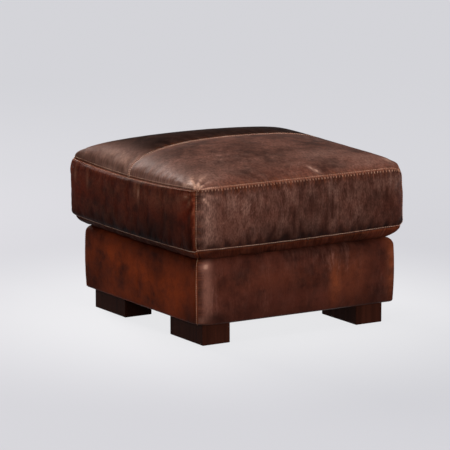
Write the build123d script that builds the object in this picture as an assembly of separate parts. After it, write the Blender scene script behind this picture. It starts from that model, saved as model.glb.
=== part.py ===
from build123d import *
import os
from math import asin, cos, sin

# Square leather ottoman: an attached, crowned box cushion on a padded box base, on four block legs.
# Millimetres. +Z is up and the floor is Z = 0, with the origin on the floor below the middle.
# The front face looks along -Y. Width runs along X and depth along Y.

# ---- Cushion ----
cushion_width = 610.0  # over the corner seams
cushion_depth = 620.0
crown_height = 75.0  # top of the crown above the top seam
crown_peak_y = 40.0  # the crown is highest behind the middle
crown_side_roll = 40.0  # radius of the top's roll beside the left and right seams
crown_front_roll = 18.0  # and beside the front and back seams, where it slopes down gently
boxing_height = 152.0  # from the bottom seam to the top seam
boxing_bulge = 8.0  # how far the side bands swell between the seams
under_roll = 24.0  # radius and height of the roll below the bottom seam
under_band_reach = 52.0  # how far the under-bands run in below the foam
top_seam_y = 30.0  # where the two top panels are joined
under_seam_x = 16.0  # where the two front under-bands are joined
wrap_thickness = 12.0  # polyester wrap round the foam

# ---- Base ----
base_overhang = 17.0  # how far the cushion stands out past the base
base_height = 172.0  # from the top of the legs to the top of the leather
base_top_roll = 18.0
base_bottom_roll = 12.0
base_bulge = 4.0
wadding_thickness = 12.0
top_hem_width = 12.0  # flat width of the hem that is tacked to the top of the rails
bottom_hem_reach = 38.0  # how far the leather runs in below the rails
card_thickness = 1.5
card_width = 10.0

# ---- Sheet materials ----
leather_thickness = 2.0
dust_cover_thickness = 0.8
dust_cover_setback = 22.0  # from the outer face of the base
deck_cloth_thickness = 1.5
webbing_thickness = 2.0
webbing_width = 60.0
webbing_ramp = 28.0  # length over which a strap climbs over the next one
webbing_count = 4  # straps each way
webbing_landing = 11.0  # how far a strap lies on a rail

# ---- Legs ----
leg_height = 54.0
leg_width = 80.0
leg_depth = 160.0
leg_setback = 18.0  # from the outer face of the base
leg_edge = 1.5  # eased edges

# ---- Wooden frame ----
rail_thickness = 30.0
post_size = 40.0
post_drop = 12.0  # from the top of the rails to the top of the posts
plate_thickness = 18.0
plate_margin = 12.0  # how far a plate runs in past its leg
stretcher_thickness = 22.0
stretcher_height = 70.0
tongue_thickness = 10.0  # tongue of a side rail in the groove of the front or back rail
tongue_length = 12.0
stretcher_housing = 10.0  # depth of its seat in each side rail

# ---- Fasteners ----
bolt_radius = 4.0
bolt_in_leg = 38.0
bolt_above_nut = 6.0
tee_flange_radius = 9.5
tee_flange_thickness = 1.5
tee_barrel_radius = 5.5
tee_barrel_length = 12.0
tee_margin = 4.0  # wood left round the flange
staple_crown = 11.0
staple_wire = 1.2
frame_staple_length = 50.0
frame_staple_spacing = 70.0
plate_staple_length = 40.0
webbing_staple_length = 16.0
deck_staple_length = 16.0

# ---- Clearances ----
soft_gap = 0.3  # between layers of leather, wadding and foam
fastener_gap = 0.1  # round a shank in its hole

# ---- Levels and plan sizes worked out from these ----
base_width = cushion_width - 2 * base_overhang
base_depth = cushion_depth - 2 * base_overhang
leather_bottom = leg_height + dust_cover_thickness
rail_bottom = leather_bottom + leather_thickness
leather_top = leg_height + base_height
hem_stack = 2 * leather_thickness + card_thickness + 2 * soft_gap
deck_stack = 2 * webbing_thickness + 2 * soft_gap + deck_cloth_thickness
tack_stack = max(hem_stack, deck_stack)
rail_top = leather_top - tack_stack
cushion_bottom = leather_top + soft_gap
bottom_seam = cushion_bottom + under_roll
top_seam = bottom_seam + boxing_height
rail_setback = leather_thickness + wadding_thickness + 2 * soft_gap
rail_inset = rail_setback + rail_thickness
fold_setback = rail_setback + top_hem_width
hem_fold_radius = tack_stack / 2
tack_line = fold_setback + hem_fold_radius + soft_gap
tee_inset_x = rail_inset + tee_margin + tee_flange_radius
tee_inset_y = rail_inset + post_size + tee_margin + tee_flange_radius
plate_top = rail_bottom + plate_thickness
post_top = rail_top - post_drop
bolt_hole_radius = bolt_radius + fastener_gap
opening = (base_width - 2 * rail_inset, base_depth - 2 * rail_inset)  # inside the frame, along X and Y
reach = cushion_width + cushion_depth  # longer than anything that it cuts

# Each side as (name, half size across, half length along, turn about Z from the front).
cushion_sides = [
    ("front", cushion_depth / 2, cushion_width / 2, 0),
    ("right", cushion_width / 2, cushion_depth / 2, 90),
    ("back", cushion_depth / 2, cushion_width / 2, 180),
    ("left", cushion_width / 2, cushion_depth / 2, 270),
]
base_sides = [
    (name, half - base_overhang, run - base_overhang, turn) for name, half, run, turn in cushion_sides
]
# Each corner as (name, sign of X, sign of Y).
corners = [("front_left", -1, -1), ("front_right", 1, -1), ("back_left", -1, 1), ("back_right", 1, 1)]


# ---- Sections: points are (distance out from the middle, height) ----
def arc(start, middle, end):
    return Edge.make_three_point_arc(start, middle, end)


def line(start, end):
    return Edge.make_line(start, end)


def quarter(centre, radius, from_side, to_side):
    """Quarter circle about centre; from_side and to_side are unit directions out of it."""
    middle = [(a + b) * sin(asin(1) / 2) for a, b in zip(from_side, to_side)]
    points = [
        (centre[0] + radius * side[0], centre[1] + radius * side[1]) for side in (from_side, middle, to_side)
    ]
    return arc(*points)


def band(outer, inner):
    """Face of constant thickness between two chains of edges that run the same way."""
    start_cap = line(inner[0] @ 0, outer[0] @ 0)
    end_cap = line(outer[-1] @ 1, inner[-1] @ 1)
    return Face(Wire([*outer, end_cap, *inner, start_cap]))


def swell(half, low, high, bulge):
    """Side line from low to high that swells outwards by bulge."""
    return arc((half, low), (half + bulge, (low + high) / 2), (half, high))


def crown_line(half, edge_roll, inset):
    """The cushion's top from the seam to the peak, half away: a small roll, then one long arc."""
    flat_half = half - edge_roll
    rise = crown_height - edge_roll
    crown_radius = (flat_half**2 + crown_height**2 - edge_roll**2) / (2 * rise)
    lean = asin(flat_half / (crown_radius - edge_roll))
    roll_radius = edge_roll - inset
    long_radius = crown_radius - inset
    crown_centre = top_seam + crown_height - crown_radius

    def on_roll(angle):
        return flat_half + roll_radius * sin(angle), top_seam + roll_radius * cos(angle)

    def on_crown(angle):
        return long_radius * sin(angle), crown_centre + long_radius * cos(angle)

    quarter_turn = asin(1)
    roll = arc(on_roll(quarter_turn), on_roll((quarter_turn + lean) / 2), on_roll(lean))
    crown = arc(on_crown(lean), on_crown(lean / 2), on_crown(0))
    return [roll, crown]


def cushion_half(half, edge_roll, inset):
    """Closed section of the cushion from its peak out to one side, shrunk by inset on every face."""
    side = half - inset
    low = cushion_bottom + inset
    roll = quarter((half - under_roll, bottom_seam), under_roll - inset, (0, -1), (1, 0))
    top = crown_line(half, edge_roll, inset)
    edges = [
        line((0, low), (half - under_roll, low)),
        roll,
        swell(side, bottom_seam, top_seam, boxing_bulge),
        *top,
        line(top[-1] @ 1, (0, low)),
    ]
    return Face(Wire(edges))


def under_band_line(half, inset):
    low = cushion_bottom + inset
    return [
        quarter((half - under_roll, bottom_seam), under_roll - inset, (1, 0), (0, -1)),
        line((half - under_roll, low), (half - under_band_reach, low)),
    ]


def base_skin_line(half, inset):
    """Base leather from the tacked hem, round the card, over the top roll, down and under the rails."""
    hem_level = rail_top + inset
    top = leather_top - inset
    low = leather_bottom + inset
    side = half - inset
    fold = half - fold_setback
    fold_tip = fold - hem_fold_radius + inset
    top_centre = (half - base_top_roll, leather_top - base_top_roll)
    bottom_centre = (half - base_bottom_roll, leather_bottom + base_bottom_roll)
    return [
        line((half - rail_setback, hem_level), (fold, hem_level)),
        arc((fold, hem_level), (fold_tip, leather_top - hem_fold_radius), (fold, top)),
        line((fold, top), (half - base_top_roll, top)),
        quarter(top_centre, base_top_roll - inset, (0, 1), (1, 0)),
        swell(side, top_centre[1], bottom_centre[1], base_bulge),
        quarter(bottom_centre, base_bottom_roll - inset, (1, 0), (0, -1)),
        line((bottom_centre[0], low), (half - bottom_hem_reach, low)),
    ]


# ---- Turning sections into pieces ----
def prism(right_section, left_section, peak, plane):
    """Two sections that meet at the peak, run through the whole object square to plane."""
    whole = Pos(peak, 0) * (right_section + mirror(left_section, about=Plane.YZ))
    return extrude(plane * whole, amount=reach / 2, both=True)


def cushion_body(inset):
    """The cushion's outer form shrunk by inset: where the sections across and along both reach."""
    side = cushion_half(cushion_width / 2, crown_side_roll, inset)
    back = cushion_half(cushion_depth / 2 - crown_peak_y, crown_front_roll, inset)
    front = cushion_half(cushion_depth / 2 + crown_peak_y, crown_front_roll, inset)
    return prism(side, side, 0, Plane.XZ) & prism(back, front, crown_peak_y, Plane.YZ)


def mitred(section, half, run, turn):
    """Section run along one side, mitred at both corners of a half-by-run rectangle and turned in place."""
    outward = Plane.YZ * section.mirror(Plane.YZ)
    strip = extrude(outward, amount=run + half, both=True)
    deep = min(half, run) * 0.9
    corner_points = [
        (-run - half, -2 * half),
        (run + half, -2 * half),
        (run - deep, deep - half),
        (deep - run, deep - half),
    ]
    wedge = extrude(make_face(Polyline(*corner_points, close=True)), amount=reach)
    return Rot(0, 0, turn) * (strip & wedge)


def block(x, y, z):
    """Box from three (low, high) pairs."""
    size = [high - low for low, high in (x, y, z)]
    centre = [(high + low) / 2 for low, high in (x, y, z)]
    return Pos(*centre) * Box(*size)


def at_corner(inner, sign_x, sign_y):
    """A shape modelled in the +X +Y corner, mirrored into the corner with these signs."""
    shape = inner
    if sign_x < 0:
        shape = mirror(shape, about=Plane.YZ)
    if sign_y < 0:
        shape = mirror(shape, about=Plane.XZ)
    return shape


def rod(start, direction, radius, length):
    """Cylinder from start along a unit direction."""
    return extrude(Plane(start, z_dir=direction) * Circle(radius), amount=length)


# ---- Leather of the cushion ----
def boxing(name, half, run, turn):
    outer = swell(half, bottom_seam, top_seam, boxing_bulge)
    inner = swell(half - leather_thickness, bottom_seam, top_seam, boxing_bulge)
    return {f"cushion_boxing_{name}": mitred(band([outer], [inner]), half, run, turn)}


def under_bands(name, half, run, turn):
    section = band(under_band_line(half, 0), under_band_line(half, leather_thickness))
    whole = mitred(section, half, run, turn)
    if name != "front":
        return {f"cushion_under_band_{name}": whole}
    left_part = block((-reach, under_seam_x), (-reach, reach), (0, reach))
    return {
        "cushion_under_band_front_left": whole & left_part,
        "cushion_under_band_front_right": whole - left_part,
    }


def top_panels():
    shell = cushion_body(0) - cushion_body(leather_thickness)
    above = (top_seam, top_seam + reach)
    front = shell & block((-reach, reach), (-reach, top_seam_y), above)
    rear = shell & block((-reach, reach), (top_seam_y, reach), above)
    return {"cushion_top_panel_front": front, "cushion_top_panel_rear": rear}


# ---- Filling of the cushion ----
def filling():
    """Foam block in a polyester wrap, which settles between the under-bands onto the deck cloth."""
    wrap_inset = leather_thickness + soft_gap
    foam_inset = wrap_inset + wrap_thickness + soft_gap
    well_x = cushion_width / 2 - under_band_reach - soft_gap
    well_y = cushion_depth / 2 - under_band_reach - soft_gap
    deck_top = rail_top + deck_stack
    foot_levels = (deck_top + staple_wire + soft_gap, cushion_bottom + wrap_inset + wrap_thickness)
    foot = block((-well_x, well_x), (-well_y, well_y), foot_levels)
    wrap = cushion_body(wrap_inset) - cushion_body(foam_inset - soft_gap) + foot
    return {"cushion_wrap": wrap, "cushion_foam": cushion_body(foam_inset)}


# ---- Base upholstery ----
def base_panel(name, half, run, turn):
    section = band(base_skin_line(half, 0), base_skin_line(half, leather_thickness))
    return {f"base_panel_{name}": mitred(section, half, run, turn)}


def base_wadding(name, half, run, turn):
    """Pad between a rail and its leather; it fills the top and bottom rolls."""
    inset = leather_thickness + soft_gap
    skin = base_skin_line(half, inset)[3:6]
    outline = Face(Wire([*skin, line(skin[-1] @ 1, skin[0] @ 0)]))
    back = half - inset - wadding_thickness
    keep = make_face(Polyline((back, 0), (half + reach, 0), (half + reach, reach), (back, reach), close=True))
    return {f"base_wadding_{name}": mitred(outline & keep, half, run, turn)}


def tack_strip(name, half, run, turn):
    """Card strip in the fold of the top hem, which gives the base its straight top edge."""
    low = rail_top + leather_thickness + soft_gap
    near = half - fold_setback
    far = near + card_width
    high = low + card_thickness
    section = make_face(Polyline((near, low), (far, low), (far, high), (near, high), close=True))
    return {f"tack_strip_{name}": mitred(section, half, run, turn)}


def dust_cover():
    half_x = base_width / 2 - dust_cover_setback
    half_y = base_depth / 2 - dust_cover_setback
    cover = block((-half_x, half_x), (-half_y, half_y), (leg_height, leather_bottom))
    bolt_hole = rod(bolt_foot(), (0, 0, 1), bolt_hole_radius, reach)
    holes = [at_corner(bolt_hole, sign_x, sign_y) for _, sign_x, sign_y in corners]
    return {"dust_cover": cover - holes}


# ---- Staples ----
def staple(middle, into, along, length):
    """Staple with the underside of its crown at middle, along one direction and driven into another."""
    plane = Plane(middle, x_dir=along, z_dir=Vector(*along).cross(Vector(*into)))
    out, wire = staple_crown / 2, staple_wire
    half = [(0, -wire), (out, -wire), (out, length), (out - wire, length), (out - wire, 0)]
    other = [(-x, y) for x, y in reversed(half[1:])]
    return extrude(plane * make_face(Polyline(*half, *other, close=True)), amount=wire / 2, both=True)


def spread(count, span):
    """Middles of count equal shares of a span that is centred on zero."""
    return [span * ((i + 0.5) / count - 0.5) for i in range(count)]


def all_corners(shapes):
    return [at_corner(shape, sign_x, sign_y) for shape in shapes for _, sign_x, sign_y in corners]


def frame_staples():
    """Through the rails into the posts, and up through the plates, with their crowns flush."""
    sunk_x = base_width / 2 - rail_setback - staple_wire
    sunk_y = base_depth / 2 - rail_setback - staple_wire
    post_x = base_width / 2 - rail_inset - post_size / 2
    post_y = base_depth / 2 - rail_inset - post_size / 2
    middle = (plate_top + post_top) / 2
    staples = []
    for step in (-0.5, 0.5):
        height = middle + step * frame_staple_spacing
        lower, upper = height - staple_crown, height + staple_crown
        staples.append(staple((sunk_x, post_y, upper), (-1, 0, 0), (0, 0, 1), frame_staple_length))
        staples.append(staple((post_x, sunk_y, lower), (0, -1, 0), (0, 0, 1), frame_staple_length))
    plate_level = rail_bottom + staple_wire
    staples.append(staple((post_x, post_y, plate_level), (0, 0, 1), (1, 0, 0), plate_staple_length))
    return all_corners(staples)


def staples_on_top(spans, places, level, length):
    """Staples driven down at both ends of the spans along X and Y, at places along the other way."""
    down = (0, 0, -1)
    staples = []
    for side in (-0.5, 0.5):
        for y in places[1]:
            staples.append(staple((side * spans[0], y, level), down, (0, 1, 0), length))
        for x in places[0]:
            staples.append(staple((x, side * spans[1], level), down, (1, 0, 0), length))
    return staples


def webbing_staples():
    """One at each end of each strap."""
    spans = [size + webbing_landing for size in opening]
    places = [spread(webbing_count, size) for size in opening]
    return staples_on_top(spans, places, rail_top + webbing_thickness, webbing_staple_length)


def deck_staples():
    """Between the straps, just inside the under-bands."""
    inset = (under_band_reach - base_overhang + rail_inset) / 2
    spans = [base_width - 2 * inset, base_depth - 2 * inset]
    between = webbing_count - 1
    places = [spread(between, size * between / webbing_count) for size in opening]
    return staples_on_top(spans, places, rail_top + deck_stack, deck_staple_length)


# ---- Suspension ----
def strap(length, crossings, over_first):
    """Strap along X that lies on both rails and climbs over every other strap that it crosses."""
    climb = webbing_thickness + soft_gap
    half_flat = webbing_width / 2 + soft_gap
    path = [(-length / 2, 0)]
    for i, place in enumerate(crossings):
        if (i % 2 == 0) == over_first:
            path += [(place - half_flat - webbing_ramp, 0), (place - half_flat, climb)]
            path += [(place + half_flat, climb), (place + half_flat + webbing_ramp, 0)]
    path.append((length / 2, 0))
    top = [(x, z + webbing_thickness) for x, z in reversed(path)]
    section = Plane.XZ * make_face(Polyline(*path, *top, close=True))
    return Pos(0, 0, rail_top) * extrude(section, amount=webbing_width / 2, both=True)


def webbing():
    places_x, places_y = (spread(webbing_count, span) for span in opening)
    length_x, length_y = (span + 2 * webbing_landing for span in opening)
    staples = webbing_staples()
    straps = {}
    for i, y in enumerate(places_y):
        across = Pos(0, y, 0) * strap(length_x, places_x, i % 2 == 0)
        straps[f"webbing_side_to_side_{i + 1}"] = across - staples
    for i, x in enumerate(places_x):
        along = Pos(x, 0, 0) * Rot(0, 0, 90) * strap(length_y, places_y, i % 2 == 1)
        straps[f"webbing_front_to_back_{i + 1}"] = along - staples
    return straps


def deck_cloth():
    half_x = base_width / 2 - tack_line
    half_y = base_depth / 2 - tack_line
    top = rail_top + deck_stack
    cloth = block((-half_x, half_x), (-half_y, half_y), (top - deck_cloth_thickness, top))
    return {"deck_cloth": cloth - deck_staples()}


# ---- Wooden frame ----
def bolt_foot():
    """Foot of the hanger bolt in the +X +Y leg."""
    return base_width / 2 - tee_inset_x, base_depth / 2 - tee_inset_y, leg_height - bolt_in_leg


def side_tongues():
    """Tongues at both ends of the +X side rail."""
    middle = base_width / 2 - rail_setback - rail_thickness / 2
    end = base_depth / 2 - rail_inset + tongue_length
    across = (middle - tongue_thickness / 2, middle + tongue_thickness / 2)
    return block(across, (-end, end), (rail_bottom, rail_top))


def frame_wood():
    face_x = base_width / 2 - rail_setback
    face_y = base_depth / 2 - rail_setback
    inner_x = base_width / 2 - rail_inset
    inner_y = base_depth / 2 - rail_inset
    height = (rail_bottom, rail_top)
    tongues = [side_tongues(), mirror(side_tongues(), about=Plane.YZ)]
    staples = frame_staples() + webbing_staples() + deck_staples()
    seat_x = inner_x + stretcher_housing
    half_stretcher = stretcher_thickness / 2
    stretcher_levels = (rail_bottom, rail_bottom + stretcher_height)
    stretcher = block((-seat_x, seat_x), (-half_stretcher, half_stretcher), stretcher_levels)
    back_rail = block((-face_x, face_x), (inner_y, face_y), height)
    right_rail = block((inner_x, face_x), (-inner_y, inner_y), height) + tongues[0]
    wood = {
        "frame_rail_back": back_rail - tongues - staples,
        "frame_rail_front": mirror(back_rail, about=Plane.XZ) - tongues - staples,
        "frame_rail_right": right_rail - stretcher - staples,
        "frame_rail_left": mirror(right_rail, about=Plane.YZ) - stretcher - staples,
        "frame_stretcher": stretcher,
    }
    nut_hole = rod(bolt_foot(), (0, 0, 1), tee_barrel_radius + fastener_gap, reach)
    post = block((inner_x - post_size, inner_x), (inner_y - post_size, inner_y), (plate_top, post_top))
    plate_x = base_width / 2 - leg_setback - leg_width - plate_margin
    plate_y = base_depth / 2 - leg_setback - leg_depth - plate_margin
    plate = block((plate_x, inner_x), (plate_y, inner_y), (rail_bottom, plate_top)) - nut_hole
    for name, sign_x, sign_y in corners:
        wood[f"corner_post_{name}"] = at_corner(post, sign_x, sign_y) - staples
        wood[f"leg_plate_{name}"] = at_corner(plate, sign_x, sign_y) - staples
    return wood


# ---- Legs and fasteners ----
def legs():
    x = base_width / 2 - leg_setback
    y = base_depth / 2 - leg_setback
    leg = block((x - leg_width, x), (y - leg_depth, y), (0, leg_height))
    leg = chamfer(leg.edges().filter_by(Axis.Z) + leg.faces().sort_by(Axis.Z)[0].edges(), leg_edge)
    leg -= rod(bolt_foot(), (0, 0, 1), bolt_hole_radius, reach)
    return {f"leg_{name}": at_corner(leg, sign_x, sign_y) for name, sign_x, sign_y in corners}


def hanger_bolt():
    tip = plate_top + tee_flange_thickness + bolt_above_nut
    return rod(bolt_foot(), (0, 0, 1), bolt_radius, tip - leg_height + bolt_in_leg)


def tee_nut():
    x, y, _ = bolt_foot()
    barrel = rod((x, y, plate_top - tee_barrel_length), (0, 0, 1), tee_barrel_radius, tee_barrel_length)
    flange = rod((x, y, plate_top), (0, 0, 1), tee_flange_radius, tee_flange_thickness)
    bore = rod((x, y, 0), (0, 0, 1), bolt_hole_radius, reach)
    return barrel + flange - bore


def fasteners():
    groups = {
        "leg_hanger_bolts": all_corners([hanger_bolt()]),
        "leg_tee_nuts": all_corners([tee_nut()]),
        "frame_staples": frame_staples(),
        "webbing_staples": webbing_staples(),
        "deck_staples": deck_staples(),
    }
    return {node: Compound(items) for node, items in groups.items()}


def all_pieces():
    pieces = {**top_panels(), **filling(), **deck_cloth(), **webbing(), **frame_wood()}
    pieces |= {**fasteners(), **legs(), **dust_cover()}
    for side in cushion_sides:
        pieces |= {**boxing(*side), **under_bands(*side)}
    for side in base_sides:
        pieces |= {**base_panel(*side), **base_wadding(*side), **tack_strip(*side)}
    return pieces


os.makedirs("parts", exist_ok=True)
for node, piece in all_pieces().items():
    export_step(piece, f"parts/{node}.step")
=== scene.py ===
from math import cos, pi, sin

import bmesh
import bpy
import numpy as np
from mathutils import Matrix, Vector
from mathutils.bvhtree import BVHTree


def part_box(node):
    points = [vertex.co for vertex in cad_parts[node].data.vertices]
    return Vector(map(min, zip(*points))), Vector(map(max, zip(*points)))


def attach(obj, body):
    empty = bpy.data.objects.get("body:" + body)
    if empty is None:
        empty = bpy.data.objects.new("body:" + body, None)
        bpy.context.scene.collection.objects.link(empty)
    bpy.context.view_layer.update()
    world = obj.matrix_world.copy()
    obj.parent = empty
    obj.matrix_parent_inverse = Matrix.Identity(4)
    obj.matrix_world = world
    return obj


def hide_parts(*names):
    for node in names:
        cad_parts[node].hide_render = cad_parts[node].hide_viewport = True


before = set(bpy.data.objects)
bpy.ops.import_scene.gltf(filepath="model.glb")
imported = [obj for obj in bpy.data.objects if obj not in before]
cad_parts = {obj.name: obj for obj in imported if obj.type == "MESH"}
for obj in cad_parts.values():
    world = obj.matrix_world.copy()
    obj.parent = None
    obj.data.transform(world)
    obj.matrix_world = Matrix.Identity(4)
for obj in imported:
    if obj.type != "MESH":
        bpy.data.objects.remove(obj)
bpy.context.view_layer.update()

# A square leather ottoman: a boxed cushion sewn down on an upholstered base with four block legs.
# Everything is in metres. The front looks along -Y and +Z is up.

MM = 0.001
TINY = 1e-9  # keeps powers and divisions away from 0

# Which way each side faces, and which way it runs from its left end to its right end seen from outside.
SIDES = {
    "front": np.array([[0.0, -1.0], [1.0, 0.0]]),
    "right": np.array([[1.0, 0.0], [0.0, 1.0]]),
    "back": np.array([[0.0, 1.0], [-1.0, 0.0]]),
    "left": np.array([[-1.0, 0.0], [0.0, -1.0]]),
}
FULL_SIDES = ("front", "back")  # their panels puff round into the corner seams
# The corner at each side's left end, and the one at its right end.
CORNERS = [("left", "front"), ("front", "right"), ("right", "back"), ("back", "left")]
CORNER_BEFORE = dict(zip(SIDES, CORNERS))
CORNER_AFTER = dict(zip(SIDES, CORNERS[1:] + CORNERS[:1]))


def by_corner(*values):
    """Values in millimetres for the left front, front right, right back and back left corner."""
    return dict(zip(CORNERS, np.array(values) * MM))


def by_side(*values):
    """Values in millimetres for the front, right, back and left."""
    return dict(zip(SIDES, np.array(values) * MM))


def by_prefix(table, name):
    """A table's entry for a name, by the longest of its prefixes that fits."""
    return table[max((prefix for prefix in table if name.startswith(prefix)), key=len)]


# ---- Sizes read from the frame ----
def low(node, axis):
    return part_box(node)[0]["xyz".index(axis)]


def high(node, axis):
    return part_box(node)[1]["xyz".index(axis)]


TOP_FRONT, TOP_REAR = "cushion_top_panel_front", "cushion_top_panel_rear"
BAND_LEFT, BAND_RIGHT = "cushion_under_band_front_left", "cushion_under_band_front_right"
SEAM_OUT = 6 * MM  # the swelling carries the cushion's seams this far out of the frame's seam lines
CUSHION_X = high(TOP_FRONT, "x") + SEAM_OUT
CUSHION_Y = high(TOP_REAR, "y") + SEAM_OUT
TOP_SEAM = low(TOP_FRONT, "z")
BOTTOM_SEAM = low("cushion_boxing_front", "z")
SEAM_CREEP = 10 * MM  # the filling has drawn the cross seam this far forward of the frame's
CROSS_SEAM_Y = high(TOP_FRONT, "y") - SEAM_CREEP
BAND_JOIN_X = high(BAND_LEFT, "x")
CUSHION_BOTTOM = low(BAND_LEFT, "z")
BAND_REACH = CUSHION_Y - low("cushion_under_band_back", "y")
BASE_FACE_X = high("base_panel_right", "x")
BASE_FACE_Y = high("base_panel_back", "y")
BASE_TOP = high("base_panel_front", "z")
BASE_BOTTOM = low("base_panel_front", "z")
LEATHER = 2 * MM
LEGS = [f"leg_{end}_{side}" for end in ("front", "back") for side in ("left", "right")]

# ---- The cushion's shape ----
CELL = 7 * MM  # mean spacing of the points before the cloth is simulated
FEWEST_CELLS = 3
EDGE_SPACING = 0.35  # how far apart the points are at a seam, as a share of their mean spacing

CROWN = 72.6 * MM  # height of the padded top over its seam
CROWN_SIDE_POWER = 0.41  # how squarely the crown rolls down at the left and right seams
CROWN_FRONT_POWER = 0.735  # and at the front and back seams
CROWN_JOIN = 4  # how sharply the four rolls meet along the crown's ridges
CROWN_TO_RIGHT = -0.053  # the filling has settled: lower to the right, higher to the back
CROWN_TO_BACK = 0.289
CROSS_SEAM_VALLEY = (7 * MM, 34 * MM)  # depth and width of the soft valley along the cross seam
VALLEY_END, VALLEY_FADE = 0.39, 0.12  # it runs out this far to the right, as shares of the half width
CROSS_SEAM_GROOVE = (1.2 * MM, 6 * MM)

# Plan radius of the cushion's seams where they turn each corner.
TOP_CORNER_ROUND = by_corner(26, 44, 26, 13)
BOTTOM_CORNER_ROUND = by_corner(20, 32, 24, 20)
# Heights of the seams against the frame's at the four corners, and how far each sags between them.
TOP_SEAM_CORNERS = by_corner(-0.5, 4, 1, -3.5)
TOP_SEAM_SAG = by_side(0.5, 7, 3, 12.5)
TOP_SEAM_POWER = 0.9
BOTTOM_SEAM_CORNERS = by_corner(-1.5, 6, 1, 1)
BOTTOM_SEAM_SAG = by_side(4, 6, 4, 9)
BOTTOM_SEAM_POWER = {"front": 0.9, "right": 0.6, "back": 0.8, "left": 0.3}
# How far the top seam drops as it turns a corner.
TOP_CORNER_DIP = by_corner(1, 9, 2, 0.5)
CORNER_DIP_REACH = 28 * MM
# The bands under the cushion.
BAND_SAG = by_side(8, 4, 4, 3)
BAND_SAG_POWER = 0.5
BAND_CORNER_REACH = 50 * MM  # how far from a corner the band draws in further as it rolls under
BAND_CORNER_PULL = 0.5
BAND_LOWEST, BAND_LOW_REACH = 0.4, 0.35  # it hangs lowest outside the base, in shares of its roll's radius
BAND_ROLL_POINTS, BAND_FLAT_POINTS = 8, 5

PANEL_ROUND_UP = 14 * MM  # how soon a side panel swells out below its top seam
PANEL_ROUND_DOWN = 14 * MM  # and above its bottom seam
CORNER_ROUND_UP = by_corner(18, 20, 30, 38)  # at the corners it swells out more gently below the top seam
FULL_END_ROUND = 70 * MM  # the front and back panels puff round into the corner seams
FLAT_END_ROUND = 7 * MM  # the side panels run flat up to them
CORNER_EASING = 50 * MM  # how far from a corner a panel gives way along its run
PANEL_BOW = 4 * MM  # how far each side panel bows out in the middle of its run
# How far each side panel stands out of its seams, at its left and its right end seen from outside.
SIDE_SWELL = by_side((3, 3), (7, 4), (4, 8), (11, 2))
# Where each corner seam lies at mid height, outward of the seam lines along X and Y.
CORNER_OUT = by_corner((-0.5, -13), (12, -3.5), (0.5, -6), (10, 6))

# Folds that fan out of the top corners: their height, and how they fade out and run.
CORNER_GATHERS = by_corner(3, 1.4, 1, 1)
GATHER_WEAR_AND_PAINTED_SHADE = 1.2  # how much wear and painted highlight the highest folds get, and how much painted shade their hollows get
GATHER_REACH = 62 * MM
GATHER_START = 18 * MM  # they rise over this distance from the corner
GATHER_SEWN = 6 * MM  # and over this distance from a seam
GATHER_FOLDS = 15
GATHER_BEND = 30

# ---- How the leather is simulated ----
SIM_FRAMES = 20
# The cloth is cut larger than the shape it covers, which is what its negative shrinkage means.
CLOTH = {"quality": 5, "mass": 0.3, "tension_stiffness": 15, "compression_stiffness": 15,
         "shear_stiffness": 5, "bending_stiffness": 0.5, "vertex_group_mass": "sewn", "shrink_min": -0.02,
         "use_pressure": True, "uniform_pressure_force": 4.0}
WELD = 0.02 * MM  # points this close are one
BROAD_STEPS = 40  # the movement left after this much smoothing is the shape's own and no crease
CREASE_CAP = 5 * MM
CREASE_REACH = 30 * MM  # creases fade over this distance from a seam
CREASE_FAR = 0.3  # to this share
CREASE_KEPT = {"cushion_top": 0.35, "cushion_boxing_left": 0.6, "cushion_boxing_right": 0.6, "cushion_": 1.0,
               "base_": 0.3}  # the base's leather is drawn tight
CREST_HEIGHT = 1.4 * MM  # a crease this high has full wear and painted highlight on its crest, and full painted shade in its fold
CREST_STEPS = 8

# ---- The base's shape ----
BASE_TOP_ROUND = 20 * MM
BASE_CORNER_DROP = 1.5 * MM  # how far the top edge falls at a corner
BASE_CORNER_REACH = 40 * MM
BASE_BOTTOM_ROUND = 5 * MM
BASE_CORNER_ROUND = by_corner(10, 3, 5, 5)  # how round the bottom edge is at each corner
BASE_ROUND_REACH = 18 * MM
BASE_SEAM_IN = by_corner(12, 4, 12, 12)  # how far the corner seams lie in from the front and back faces
BASE_SEAM_ASIDE = 1.5 * MM  # and from the left and right faces
BASE_SWELL = 2.5 * MM
BASE_FULL_END = 75 * MM  # the front and back panels puff round into the corner seams
BASE_FLAT_END = 7 * MM  # the side panels run flat up to them

# ---- Camera ----
AIM = Vector((0, 0, 0.201))
CAMERA_BACK = Vector((-0.5177, -0.8352, 0.1853))
CAMERA_DISTANCE = 7.284
LENS, SENSOR = 223.9, 36
SHIFT = (-0.0262, 0.0302)
FARTHEST = 100


def new_thing(name, data):
    """An object in the scene."""
    made = bpy.data.objects.new(name, data)
    bpy.context.scene.collection.objects.link(made)
    return made


def turn_to(obj, way):
    """Points an object's -Z along a direction."""
    obj.rotation_mode = "QUATERNION"
    obj.rotation_quaternion = way.to_track_quat("-Z", "Y")


def make_camera():
    data = bpy.data.cameras.new("camera")
    data.lens = LENS
    data.sensor_width = SENSOR
    data.shift_x, data.shift_y = SHIFT
    data.clip_end = FARTHEST
    camera = new_thing("camera", data)
    camera.location = AIM + CAMERA_BACK.normalized() * CAMERA_DISTANCE
    turn_to(camera, -CAMERA_BACK)
    bpy.context.scene.camera = camera


# ---- Curves that the shapes share ----
def eased(share):
    """A share of the way from a panel's middle to its seam, with the points closer together at the seam."""
    return EDGE_SPACING * share + (1 - EDGE_SPACING) * np.sin(pi / 2 * share)


def ticks(half, split):
    """Places from -half to half, closer together at both ends, with one at split."""
    below, above = (max(FEWEST_CELLS, round(reach / CELL)) for reach in (half + split, half - split))
    down = split - (half + split) * eased(np.arange(below, 0, -1) / below)
    up = split + (half - split) * eased(np.arange(0, above + 1) / above)
    return np.concatenate([down, up])


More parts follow.
